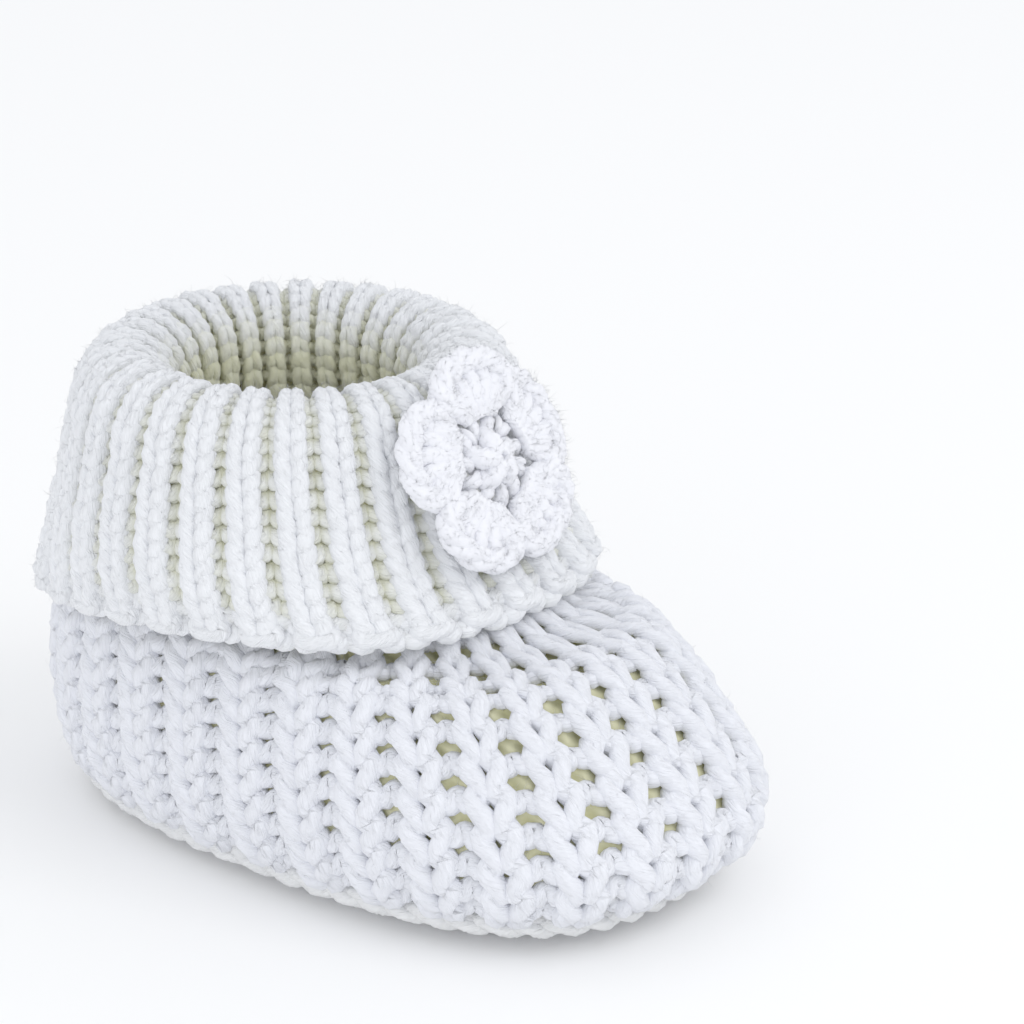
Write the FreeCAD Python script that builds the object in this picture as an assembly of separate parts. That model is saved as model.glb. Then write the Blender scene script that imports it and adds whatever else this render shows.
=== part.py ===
"""Newborn's hand-knitted bootie: knitted sole and upper, ribbed ankle turned down as a cuff, crocheted flower.

Frame: millimetres, +Z up, the sole on Z = 0, the toe towards -Y, the bootie symmetric about X = 0,
and the origin under the middle of its bounding box. Each sub-part is written to parts/NODE.step.
"""
import FreeCAD, Part
import math
import os

# Knitted fabric
FABRIC = 3.2                # thickness of one layer of the ribbed or garter fabric
YARN_RADIUS = 0.9           # the back seam and the woven-in end
RING_POINTS = 24            # points on each closed ring of the fabric
RINGS_BETWEEN = 4           # steps from one given ring to the next

# The fabric passes through closed rings, each in a tilted plane. A ring is its half width, toe y,
# heel y, toe z, heel z and bluntness: 2 is an ellipse, and more is squarer.
FOOT_RINGS = [              # from the sole's edge up to the ankle
    (22.4, -38.3, 41.8, 0.0, 0.0, 2.7),
    (28.4, -48.8, 47.6, 5.6, 4.4, 2.7),
    (29.5, -49.9, 50.1, 14.8, 14.1, 2.7),
    (26.4, -35.8, 50.2, 30.8, 24.4, 2.6),
    (22.9, -23.5, 45.2, 32.8, 31.0, 2.3),
    (18.9, -3.3, 34.5, 41.4, 41.4, 2.0),
]
LINING_DROP = [0.0, 0.0, 0.4, 2.4, 2.6, 0.0]    # how far the lining lies below each ring at the toe
SOLE_THICKNESS = 3.0
SOLE_SEAM_HEIGHT = 1.8      # the round of stitches that joins sole and upper
SOLE_SEAM_DEPTH = 1.2
SOLE_SEAM_PROUD = 0.4

CUFF_RINGS = [              # from the hem up to the start of the rounded crest
    (31.4, -22.6, 50.6, 36.2, 28.6, 2.4),
    (32.7, -17.7, 47.7, 41.6, 41.2, 2.0),
    (29.1, -12.5, 45.7, 53.4, 53.4, 2.0),
]
RIM_Y = 16.6                # middle of the crest and the ankle's top
RIM_Z = 53.4                # height where the crest starts
CREST_OUTER = 29.1          # radius of the crest's outer foot, on the cuff
CREST_INNER = 13.4          # radius of the opening
BIND_OFF_HEIGHT = 3.0       # the bound-off chain along the hem, which stands a little proud
BIND_OFF_PROUD = 0.3

HEEL_SEAM_Z = (3.6, 27.0)   # from the sole's seam to just under the hem
HEEL_SEAM_STEPS = 6
TAIL_Z = 46.0               # the yarn's end, darned in round the inside of the ankle
TAIL_RADIUS = 14.9
TAIL_ANGLES = (-24, 24)     # degrees either side of the heel
TAIL_FORWARD = 0.4          # the ankle's middle is this far in front of the crest's at that height

# Crocheted flower on the front of the cuff
FLOWER_Z = 51.5             # height of its middle
FLOWER_TILT = 24.0          # degrees that its face looks up
FLOWER_RADIUS = 12.0        # from its middle to a petal's tip
RING_OUTER = 5.6
RING_HOLE = 3.0
RING_THICKNESS = 2.4
BOBBLE_RADIUS = 4.0
BOBBLE_HEIGHT = 5.4
PETALS = 5
PETAL_THICKNESS = 2.4
PETAL_LIFT = 1.9            # height of a petal's back over the cuff at its root
PETAL_ROOT = 6.0            # distance of a petal's root from the flower's middle
PETAL_ROOT_WIDTH = 5.6
PETAL_GAP = 0.45            # half the gap between neighbouring petals
PETAL_WRAP = 16.0           # degrees that the side petals lean back, round the cuff
STITCHES = 5
STITCH_RADIUS = 0.5

LINE_LENGTH = 100.0         # longer than the bootie

V = FreeCAD.Vector
UP = V(0, 0, 1)


def ring_points(ring, inset=0.0):
    """Points of one closed ring, moved inwards by inset. The first is at the toe."""
    half_width, toe_y, heel_y, toe_z, heel_z, bluntness = ring
    half_length = (heel_y - toe_y) / 2 - inset
    middle_y = (heel_y + toe_y) / 2
    slope = (heel_z - toe_z) / (heel_y - toe_y)
    points = []
    for i in range(RING_POINTS):
        angle = 2 * math.pi * i / RING_POINTS
        across, along = math.sin(angle), math.cos(angle)
        reach = (abs(across) ** bluntness + abs(along) ** bluntness) ** (-1 / bluntness)
        y = middle_y - half_length * reach * along
        z = (toe_z + heel_z) / 2 + slope * (y - middle_y)
        points.append(V((half_width - inset) * reach * across, y, z))
    return points


def smooth_rings(rings):
    """The rings with more between them, on a Catmull-Rom curve through each of their numbers."""
    filled = []
    last = len(rings) - 1
    for i in range(last):
        before, start, end, after = rings[max(i - 1, 0)], rings[i], rings[i + 1], rings[min(i + 2, last)]
        for step in range(RINGS_BETWEEN):
            t = step / RINGS_BETWEEN
            filled.append([b + t * ((c - a) / 2 + t * ((a - 2.5 * b + 2 * c - d / 2)
                                                       + t * (-a + 3 * b - 3 * c + d) / 2))
                           for a, b, c, d in zip(before, start, end, after)])
    filled.append(rings[last])
    return filled


def closed_wire(points):
    curve = Part.BSplineCurve()
    curve.interpolate(Points=points, PeriodicFlag=True)
    return Part.Wire([curve.toShape()])


def loft(rings, inset=0.0):
    """A solid through the rings, straight from each ring to the next, with the surface moved in by inset."""
    wires = [closed_wire(ring_points(ring, inset)) for ring in smooth_rings(rings)]
    return Part.makeLoft(wires, True, True)


def slab(z_low, z_high):
    """A block that holds everything between two heights."""
    width = 2 * LINE_LENGTH
    return Part.makeBox(width, width, z_high - z_low, V(-LINE_LENGTH, -LINE_LENGTH, z_low))


def yarn_along(points, radius, closed):
    """A round tube along a smooth curve through the points."""
    curve = Part.BSplineCurve()
    curve.interpolate(Points=points, PeriodicFlag=closed)
    path = Part.Wire([curve.toShape()])
    start = curve.value(curve.FirstParameter)
    along = curve.tangent(curve.FirstParameter)[0]
    section = Part.Wire([Part.makeCircle(radius, start, along)])
    return path.makePipeShell([section], True, True)


def reach_y(form, z, side):
    """How far the form reaches in y at this height in the middle plane, towards the toe (-1) or heel (1)."""
    line = Part.makeLine(V(0, 0, z), V(0, side * LINE_LENGTH, z))
    box = form.common(line).BoundBox
    return box.YMax if side > 0 else box.YMin


def foot_hollow():
    """The space inside the foot: the rings moved in, lifted off the sole and lowered under the instep."""
    rings = []
    for ring, drop in zip(FOOT_RINGS, LINING_DROP):
        half_width, toe_y, heel_y, toe_z, heel_z, bluntness = ring
        floor = SOLE_THICKNESS if ring is FOOT_RINGS[0] else 0.0
        rings.append((half_width, toe_y, heel_y, toe_z - drop + floor, heel_z + floor, bluntness))
    return loft(rings, FABRIC)


def ankle_tube():
    """The ribbed leg between the foot and the crest."""
    radius = CREST_INNER + FABRIC
    rings = [FOOT_RINGS[-1], (radius, RIM_Y - radius, RIM_Y + radius, RIM_Z, RIM_Z, 2.0)]
    return loft(rings).cut(loft(rings, FABRIC))


def cuff_rim():
    """The crest where the ribbing turns over: the upper half of a hollow ring with a round section."""
    outside = (CREST_OUTER - CREST_INNER) / 2
    inside = outside - FABRIC
    radius = CREST_OUTER - outside
    edges = []
    for r in (outside, inside):
        edges.append(Part.Arc(V(0, RIM_Y + radius - r, RIM_Z), V(0, RIM_Y + radius, RIM_Z + r),
                              V(0, RIM_Y + radius + r, RIM_Z)).toShape())
    for side in (-1, 1):
        edges.append(Part.makeLine(V(0, RIM_Y + radius + side * inside, RIM_Z),
                                   V(0, RIM_Y + radius + side * outside, RIM_Z)))
    section = Part.Face(Part.Wire(Part.__sortEdges__(edges)))
    return section.revolve(V(0, RIM_Y, 0), UP, 360)


def hem_slab(height):
    """Everything up to this height over the hem's tilted plane."""
    _, toe_y, heel_y, toe_z, heel_z, _ = CUFF_RINGS[0]
    block = slab(0, height + heel_z)
    tilt = math.degrees(math.atan2(heel_z - toe_z, heel_y - toe_y))
    block.rotate(V(0, heel_y, heel_z), V(1, 0, 0), tilt)
    return block


def sole_seam():
    """A round of stitches over the edge between sole and upper, a little proud of both."""
    band = slab(SOLE_THICKNESS - SOLE_SEAM_HEIGHT / 2, SOLE_THICKNESS + SOLE_SEAM_HEIGHT / 2)
    return loft(FOOT_RINGS, -SOLE_SEAM_PROUD).common(band).cut(loft(FOOT_RINGS, SOLE_SEAM_DEPTH).common(band))


def heel_seam(foot):
    low, high = HEEL_SEAM_Z
    heights = [low + (high - low) * i / HEEL_SEAM_STEPS for i in range(HEEL_SEAM_STEPS + 1)]
    return yarn_along([V(0, reach_y(foot, z, 1) - YARN_RADIUS / 2, z) for z in heights], YARN_RADIUS, False)


def woven_tail():
    start, end = (math.radians(a) for a in TAIL_ANGLES)
    ends = [V(TAIL_RADIUS * math.sin(a), RIM_Y - TAIL_FORWARD + TAIL_RADIUS * math.cos(a), TAIL_Z)
            for a in (start, (start + end) / 2, end)]
    arc = Part.Wire([Part.Arc(*ends).toShape()])
    section = Part.Wire([Part.makeCircle(YARN_RADIUS, ends[0], arc.Edges[0].tangentAt(0))])
    return arc.makePipeShell([section], True, True)


def flower_frame(cuff_form):
    """Middle of the flower's back on the cuff, and its right, up and outward directions."""
    tilt = math.radians(FLOWER_TILT)
    middle = V(0, reach_y(cuff_form, FLOWER_Z, -1), FLOWER_Z)
    return middle, V(1, 0, 0), V(0, math.sin(tilt), math.cos(tilt)), V(0, -math.cos(tilt), math.sin(tilt))


def placed(shape, origin, x_axis, y_axis, z_axis):
    """The shape, moved from the global axes onto the given ones."""
    matrix = FreeCAD.Matrix(x_axis.x, y_axis.x, z_axis.x, origin.x,
                            x_axis.y, y_axis.y, z_axis.y, origin.y,
                            x_axis.z, y_axis.z, z_axis.z, origin.z)
    shape.transformShape(matrix, True)
    return shape


def flower_ring(frame, cuff_form):
    """The starting ring and first round: a washer whose back follows the cuff."""
    depth = RING_THICKNESS
    washer = Part.makeCylinder(RING_OUTER, RING_THICKNESS + depth, V(0, 0, -depth))
    washer = washer.cut(Part.makeCylinder(RING_HOLE, RING_THICKNESS + 2 * depth, V(0, 0, -2 * depth)))
    return placed(washer, *frame).cut(cuff_form)


def flower_bobble(frame, ring, cuff_form):
    """The raised cluster in the middle: an oval ball that fills the ring's hole."""
    height = BOBBLE_HEIGHT / 2
    ball = Part.makeSphere(1.0)
    stretch = FreeCAD.Matrix()
    stretch.scale(BOBBLE_RADIUS, BOBBLE_RADIUS, height)
    ball = ball.transformGeometry(stretch)
    ball.translate(V(0, 0, height))
    return placed(ball, *frame).cut(ring).cut(cuff_form)


def flower_stitches(frame):
    """Short stitches from the ring's face down into the cuff, one between each two petals."""
    stitches = []
    middle = (RING_OUTER + RING_HOLE) / 2
    for i in range(STITCHES):
        angle = math.radians(90 + (i + 0.5) * 360 / STITCHES)
        foot = V(middle * math.cos(angle), middle * math.sin(angle), -FABRIC / 2)
        stitches.append(Part.makeCylinder(STITCH_RADIUS, FABRIC / 2 + RING_THICKNESS + STITCH_RADIUS, foot))
    return placed(Part.makeCompound(stitches), *frame)


def petal_frame(number, frame):
    """A petal's root on its back, and the directions along it, across it and off its face."""
    origin, right, upward, outward = frame
    angle = math.radians(90 + number * 360 / PETALS)
    lean = math.radians(PETAL_WRAP) * abs(math.cos(angle))
    flat = right * math.cos(angle) + upward * math.sin(angle)
    along = flat * math.cos(lean) - outward * math.sin(lean)
    across = upward * math.cos(angle) - right * math.sin(angle)
    return origin + flat * PETAL_ROOT + outward * PETAL_LIFT, along, across, along.cross(across)


def petal(number, frame):
    """A fan on a short root: an oval that nearly touches the lines halfway to its neighbours."""
    half_angle = math.pi / PETALS
    half_length = (FLOWER_RADIUS - PETAL_ROOT) / 2
    half_width = (math.tan(half_angle) * math.sqrt(2 * half_length * FLOWER_RADIUS)
                  - PETAL_GAP / math.cos(half_angle))
    stretch = FreeCAD.Matrix()
    stretch.scale(half_length, half_width, 1)
    oval = Part.makeCylinder(1.0, PETAL_THICKNESS).transformGeometry(stretch)
    oval.translate(V(half_length, 0, 0))
    neck = Part.makeBox(half_length, PETAL_ROOT_WIDTH, PETAL_THICKNESS, V(0, -PETAL_ROOT_WIDTH / 2, 0))
    return placed(oval.fuse(neck), *petal_frame(number, frame))


def build():
    """All the sub-parts by name."""
    foot = loft(FOOT_RINGS)
    cuff_form = loft(CUFF_RINGS)
    cuff_hollow = loft(CUFF_RINGS, FABRIC)
    hem = hem_slab(BIND_OFF_HEIGHT)
    bottom_seam = sole_seam()
    back_seam = heel_seam(foot).cut(bottom_seam)
    upper = foot.common(slab(SOLE_THICKNESS, RIM_Z)).cut(foot_hollow())
    frame = flower_frame(cuff_form)
    rim = cuff_rim()
    ring = flower_ring(frame, cuff_form).cut(rim)
    parts = {
        "sole": foot.common(slab(0, SOLE_THICKNESS)).cut(bottom_seam),
        "foot_upper": upper.cut(bottom_seam).cut(back_seam),
        "sole_seam": bottom_seam,
        "heel_seam": back_seam,
        "ankle_tube": ankle_tube(),
        "cuff_rim": rim,
        "turned_cuff": cuff_form.cut(cuff_hollow).cut(hem),
        "cuff_bind_off": loft(CUFF_RINGS, -BIND_OFF_PROUD).cut(cuff_hollow).common(hem),
        "woven_tail": woven_tail(),
        "flower_ring": ring,
        "flower_bobble": flower_bobble(frame, ring, cuff_form),
        "flower_stitches": flower_stitches(frame),
    }
    for number in range(PETALS):
        parts[f"petal_{number + 1}"] = petal(number, frame)
    return parts


def main():
    os.makedirs("parts", exist_ok=True)
    for name, shape in build().items():
        shape.exportStep(f"parts/{name}.step")


main()
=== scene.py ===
"""A newborn's hand-knitted bootie: sole and upper, ribbed ankle turned down as a cuff, crocheted flower.

Every knitted piece is made of its yarn. One round of stitches is one closed strand that winds through
the fabric, and the fabric's face is a surface through closed rings. Metres, +Z up, the toe towards -Y.
"""
import bpy
import math
import numpy as np
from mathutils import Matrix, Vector


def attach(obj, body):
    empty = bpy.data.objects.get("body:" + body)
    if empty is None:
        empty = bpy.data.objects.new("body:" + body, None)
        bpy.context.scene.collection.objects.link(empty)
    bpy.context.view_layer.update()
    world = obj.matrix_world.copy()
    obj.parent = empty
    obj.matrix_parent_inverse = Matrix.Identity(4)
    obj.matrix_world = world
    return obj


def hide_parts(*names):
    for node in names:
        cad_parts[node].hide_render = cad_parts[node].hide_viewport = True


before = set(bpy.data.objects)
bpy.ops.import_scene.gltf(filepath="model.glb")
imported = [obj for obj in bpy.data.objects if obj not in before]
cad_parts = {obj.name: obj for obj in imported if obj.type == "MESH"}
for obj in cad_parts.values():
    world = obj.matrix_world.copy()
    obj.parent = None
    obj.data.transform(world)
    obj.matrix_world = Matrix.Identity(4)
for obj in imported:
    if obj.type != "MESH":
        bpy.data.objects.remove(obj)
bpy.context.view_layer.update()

# ---------------------------------------------------------------------------------------------- sole
# The sole is knitted flat in soft two-ply acrylic yarn, in rounds that widen from a line along its middle,
# and turns up a little at its edge, where a round of stitches joins it to the upper.

MM = 0.001
FOOT_RINGS = [              # half width, toe y, heel y, toe z, heel z in mm, and bluntness: 2 is an ellipse
    (22.4, -38.3, 41.8, 0.0, 0.0, 2.7),
    (28.4, -48.8, 47.6, 5.6, 4.4, 2.7),
    (29.5, -49.9, 50.1, 14.8, 14.1, 2.7),
    (26.4, -35.8, 50.2, 30.8, 24.4, 2.6),
    (22.9, -23.5, 45.2, 32.8, 31.0, 2.3),
    (18.9, -3.3, 34.5, 41.4, 41.4, 2.0),
]


def rings_at(rings, places):
    """Rings at the given places, where 0 is the first ring and 1 the next, on a Catmull-Rom curve through
    each of a ring's numbers, with the end rings repeated."""
    rings, places = np.array(rings, float), np.array(places, float)
    last = len(rings) - 1
    i = np.minimum(places.astype(int), last - 1)
    t = (places - i)[:, None]
    a, b, c, d = rings[np.maximum(i - 1, 0)], rings[i], rings[i + 1], rings[np.minimum(i + 2, last)]
    return b + t * ((c - a) / 2 + t * ((a - 2.5 * b + 2 * c - d / 2) + t * (-a + 3 * b - 3 * c + d) / 2))


def evenly(lines, steps):
    """Each line of points, [lines, points, 3], given again as steps + 1 points evenly spaced along it."""
    step = np.linalg.norm(np.diff(lines, axis=1), axis=2)
    along = np.concatenate([np.zeros((len(lines), 1)), np.cumsum(step, axis=1)], axis=1)
    number = np.arange(len(lines))[:, None]
    known = (number + along / along[:, -1:]).ravel()
    wanted = (number + np.linspace(0, 1 - 1e-9, steps + 1)).ravel()
    flat = lines.reshape(-1, 3)
    spaced = [np.interp(wanted, known, flat[:, axis]) for axis in range(3)]
    return np.stack(spaced, axis=-1).reshape(len(lines), steps + 1, 3)


def fanned(rings, widest, toe_centre, heel_centre, lean, columns):
    """Points of each ring where the same wales cross it, evenly spaced on the widest ring. A wale keeps one
    number: the angle about the toe's centre in front of it, then the distance back along the side, then the
    angle about the heel's centre, with y taken less lean times z. On the other side the number goes on."""
    x, y = rings[..., 0], rings[..., 1] - lean * rings[..., 2]
    toe_turn = np.arctan2(abs(x), np.maximum(toe_centre - y, 0))
    heel_turn = math.pi / 2 - np.arctan2(abs(x), np.maximum(y - heel_centre, 0))
    back = (np.clip(y, toe_centre, heel_centre) - toe_centre) / (heel_centre - toe_centre)
    half = math.pi + 1      # the number at the middle of the heel
    number = toe_turn + back + heel_turn
    second_half = np.arange(rings.shape[1]) > rings.shape[1] // 2
    number = np.where(second_half, 2 * half - number, number)
    number[:, 0], number[:, -1] = 0, 2 * half
    tiny = 1e-9             # the number is carried along, too small to add to the length
    even = evenly(np.stack([number[widest] * tiny, x[widest], y[widest]], axis=-1)[None], columns)
    wanted = even[0, :, 0] / tiny
    return np.stack([[np.interp(wanted, known, ring[:, axis]) for axis in range(3)]
                     for known, ring in zip(number, rings)]).swapaxes(1, 2)


def fabric(rings, rows=200, columns=720, fan=None):
    """A fabric's face: its points and outward normals on a grid that goes once round in columns and along
    the wales in rows. At angle A from the toe a ring's reach is (|sin A|^n + |cos A|^n)^(-1/n), x is half
    width times reach times sin A, y is the middle less half length times reach times cos A, and z is the
    height there of the ring's tilted plane. Columns are then evenly spaced or fanned, and rows are even."""
    angle = np.linspace(0, 2 * np.pi, 2 * columns + 1)
    half_width, toe_y, heel_y, toe_z, heel_z, bluntness = np.array(rings, float).T[:, :, None]
    across, along = np.sin(angle), np.cos(angle)
    reach = (abs(across) ** bluntness + abs(along) ** bluntness) ** (-1 / bluntness)
    middle = (toe_y + heel_y) / 2
    x = half_width * reach * across
    y = middle - (heel_y - toe_y) / 2 * reach * along
    z = (toe_z + heel_z) / 2 + (heel_z - toe_z) / (heel_y - toe_y) * (y - middle)
    outline = np.stack([x, y, z], axis=-1) * MM
    points = fanned(outline, *fan, columns) if fan else evenly(outline, columns)
    points = evenly(points.swapaxes(0, 1), rows).swapaxes(0, 1)
    once = points[:, :-1]
    normals = np.cross(np.roll(once, -1, axis=1) - np.roll(once, 1, axis=1), np.gradient(once, axis=0))
    normals /= np.linalg.norm(normals, axis=2, keepdims=True)
    return points, np.concatenate([normals, normals[:, :1]], axis=1)


def on_fabric(cloth, around, up, height):
    """Points and normals of a fabric at shares of the way around and up it, at a height over its face: the
    grid's four nearest points are averaged, then the normal times the height is added."""
    rows, columns = cloth[0].shape[0] - 1, cloth[0].shape[1] - 1
    a, b = (around % 1.0) * columns, up * rows
    i = np.clip(a.astype(int), 0, columns - 1)
    j = np.clip(np.floor(b).astype(int), 0, rows - 1)
    a, b = (a - i)[..., None], (b - j)[..., None]
    points, normals = (
        (grid[j, i] * (1 - a) + grid[j, i + 1] * a) * (1 - b)
        + (grid[j + 1, i] * (1 - a) + grid[j + 1, i + 1] * a) * b for grid in cloth)
    normals = normals / np.linalg.norm(normals, axis=-1, keepdims=True)
    return points + normals * np.asarray(height)[..., None], normals


PLY_TURN = 4.2              # the yarn's length in mm in which its two plies twist half way round each other
PLY_RELIEF = 0.08           # how far they stand out, as a share of its radius
FLUFF_RELIEF = 0.045        # how much the fluff roughens it, as a share of its radius
LEVEL_ROUND = 0.14          # how much higher the yarn's outer side is than its middle, in level, so its inner side takes painted shade


def strand(path, facing, radius, level, sides=8, closed=True):
    """A yarn along a path: a tube whose radius swells twice on the way round, by relief times the cosine
    of twice the angle less the twist, which turns with its length, and by a little noise for its fluff.
    Facing is outwards from the fabric, and level is 0 deep in the fabric and 1 on its face, higher by the
    sine of the angle, so that the yarn's inner side takes painted shade. Gives its rings, length, closedness
    and level."""
    if closed:
        direction = np.roll(path, -1, axis=0) - np.roll(path, 1, axis=0)
        steps = np.linalg.norm(np.roll(path, -1, axis=0) - path, axis=1)
    else:
        direction = np.gradient(path, axis=0)
        steps = np.linalg.norm(np.diff(path, axis=0), axis=1)
    length = np.concatenate([[0.0], np.cumsum(steps)])
    direction /= np.linalg.norm(direction, axis=1, keepdims=True)
    side = np.cross(direction, facing)
    side /= np.linalg.norm(side, axis=1, keepdims=True)
    out = np.cross(side, direction)
    twist = np.pi * round(length[-1] / (PLY_TURN * MM)) * length[:len(path)] / length[-1]
    angle = 2 * np.pi * np.arange(sides) / sides
    swell = 1 + PLY_RELIEF * np.cos(2 * (angle[None, :] - twist[:, None]))
    swell = swell + FLUFF_RELIEF * np.random.default_rng(len(path)).normal(size=swell.shape)
    spoke = np.cos(angle)[None, :, None] * side[:, None] + np.sin(angle)[None, :, None] * out[:, None]
    radius = np.broadcast_to(radius, len(path))[:, None] * swell
    rings = path[:, None] + radius[..., None] * spoke
    # Painted shade: the yarn's inner side, towards the fabric, gets a lower level and so more of the shade
    # colour.
    level = np.broadcast_to(level, len(path))[:, None] + LEVEL_ROUND * np.sin(angle)[None, :]
    return rings, length, closed, level


def yarn_piece(name, strands, material, body, replaces=()):
    """One mesh from strands. Its UV map is each yarn's length in millimetres and the share of the way
    round it, and its attribute level is 0 deep in the fabric and 1 on its face, which the material turns
    into painted shade. A cap closes each open end."""
    points, faces, caps, lengths, shares, levels, start = [], [], [], [], [], [], 0
    for rings, length, closed, level in strands:
        count, sides = rings.shape[:2]
        i, j = np.arange(count if closed else count - 1)[:, None], np.arange(sides)[None, :]
        after, beside = (i + 1) % count * sides, (j + 1) % sides
        quads = np.broadcast_arrays(i * sides + j, after + j, after + beside, i * sides + beside)
        faces.append(np.stack(quads, axis=-1).reshape(-1, 4) + start)
        near, far = (np.broadcast_to(length[k], quads[0].shape) for k in (i, i + 1))
        lengths.append(np.stack([near, far, far, near], axis=-1).reshape(-1) / MM)
        low, high = np.broadcast_arrays(j / sides + 0 * i, (j + 1) / sides + 0 * i)
        shares.append(np.stack([low, low, high, high], axis=-1).reshape(-1))
        if not closed:
            caps.append((start + np.arange(sides)).tolist())
            caps.append((start + (count - 1) * sides + np.arange(sides)[::-1]).tolist())
        points.append(rings.reshape(-1, 3))
        levels.append(level.ravel())
        start += count * sides
    mesh = bpy.data.meshes.new(name)
    mesh.from_pydata(np.concatenate(points).tolist(), [], np.concatenate(faces).tolist() + caps)
    uv = np.zeros((len(mesh.loops), 2), np.float32)
    lengths, shares = np.concatenate(lengths), np.concatenate(shares)
    uv[:len(lengths)] = np.stack([lengths, shares], axis=-1)
    mesh.uv_layers.new(name="yarn").data.foreach_set("uv", uv.ravel())
    mesh.attributes.new("level", "FLOAT", "POINT").data.foreach_set(
        "value", np.clip(np.concatenate(levels), 0, 1).astype(np.float32))
    mesh.shade_smooth()
    mesh.materials.append(material)
    return placed_piece(name, mesh, body, replaces)


def placed_piece(name, mesh, body, replaces=()):
    """The mesh as an object that rides on a CAD body and stands for the CAD nodes named."""
    piece = bpy.data.objects.new(name, mesh)
    bpy.context.scene.collection.objects.link(piece)
    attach(piece, body)
    if replaces:
        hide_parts(*replaces)
    return piece


UNEVEN_HEIGHT, UNEVEN_PLACE, UNEVEN_THICKNESS = 0.09, 0.05, 0.04        # in mm, rows and share of radius


def course(cloth, up, pitch, ribs, start, look, samples=14, fade=0.0):
    """One round of stitches, a knit and a purl one to each rib, or two knit ones where look says plain.

    In a stitch t goes from 0 to 2 pi. Across, the strand goes by the stitch's width times t / 2 pi, plus
    lean times the width times sin 2t, so that its two legs open upwards. Up, it goes by -rise / 2 times
    cos t, in rows, and out of the fabric by depth times 1 - cos 2t. Only the bar of a purl stitch shows:
    it goes straight across, up by arch times 1 - cos t and in by sink times that. Waves of unlike lengths
    round the fabric make the stitches uneven. The radius is the thickness times a rib's width, between
    the finest and the greatest, in mm. Level, which sets the painted shade, goes with the square of the
    height above the deepest bar, from shade to 1, so that the valleys between the ribs are painted darker,
    and the last argument takes the whole round towards the painted shade colour, inside the opening."""
    t = 2 * np.pi * np.arange(samples) / samples
    stitch = np.arange(2 * ribs)[:, None]
    purl = (stitch % 2 == 1) & (not look["plain"])
    share = np.where(stitch % 2 == 0, look["knit_share"], 1 - look["knit_share"])
    begin = stitch // 2 + np.where(stitch % 2 == 0, 0, look["knit_share"])
    lean = np.where(purl, 0.0, look["lean"])
    around = begin + share * (t / (2 * np.pi) + lean * np.sin(2 * t))
    bar_rise = look["arch"] * (1 - np.cos(t)) - look["rise"] / 2
    rise = np.where(purl, bar_rise, -look["rise"] / 2 * np.cos(t))
    out = np.where(purl, -look["sink"] * (1 - np.cos(t)), look["depth"] * (1 - np.cos(2 * t)))
    around, rise, out = ((start + around) / ribs).ravel(), rise.ravel(), out.ravel()
    wave = 2 * np.pi * around
    uneven = np.sin(17 * wave + 1.7 * up / pitch) + np.sin(29 * wave - 2.3 * up / pitch)
    bottom = -2 * look["depth"] - look["radius"]
    height = (bottom + out + UNEVEN_HEIGHT * uneven) * MM
    place = up + pitch * (rise + UNEVEN_PLACE * np.sin(23 * wave + 0.9 * up / pitch))
    path, facing = on_fabric(cloth, around, place, height)
    left = on_fabric(cloth, around - 0.5 / ribs, place, height)[0]
    right = on_fabric(cloth, around + 0.5 / ribs, place, height)[0]
    width = np.linalg.norm(right - left, axis=1)
    radius = np.clip(look["thickness"] * width, look["finest"] * MM, look["radius"] * MM)
    radius = radius * (1 + UNEVEN_THICKNESS * np.sin(13 * wave + 2.1 * up / pitch))
    # Painted shade: the deeper the strand lies in the fabric, the more of the shade colour it takes.
    deepest = bottom - 2 * look["sink"]
    raised = np.clip((height / MM - deepest) / (-look["radius"] - deepest), 0, 1)
    level = look["shade"] + (1 - look["shade"]) * raised ** 2
    return strand(path, facing, radius, level * (1 - fade))


def colour(r, g, b):
    """A colour given in the display's own values, from 0 to 1, as the linear one that a shader takes: the
    usual curve of screens, (c + 0.055) / 1.055 to the power 2.4, for these light colours."""
    return tuple(((c + 0.055) / 1.055) ** 2.4 for c in (r, g, b)) + (1.0,)


def node(tree, kind, *inputs, **settings):
    """A node of that kind with its settings, and its inputs by number or name, a socket or a value each."""
    made = tree.nodes.new(kind)
    for name, value in settings.items():
        setattr(made, name, value)
    for key, value in inputs:
        if isinstance(value, bpy.types.NodeSocket):
            tree.links.new(value, made.inputs[key])
        else:
            made.inputs[key].default_value = value
    return made


def sum_node(tree, kind, *values):
    """The output of a Math node of that kind, given its values in order."""
    return node(tree, "ShaderNodeMath", *enumerate(values), operation=kind).outputs[0]


GROOVE_HEIGHT, TUFT_HEIGHT = 0.35, 0.8      # of the plies' grooves and the fluff's tufts, beside the fibres
TUFT_SCALE = 700.0                          # tufts per metre
FIBRE_STRETCH = (0.9, 6.0, 1.0)             # fibres are long along the yarn and close together round it
TUFT_SHADE = 0.25                           # how far tufts move the colour's level
DEEP_LEVEL, FACE_LEVEL = 0.1, 0.85          # levels that take the whole painted shade colour and the whole face one


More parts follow.
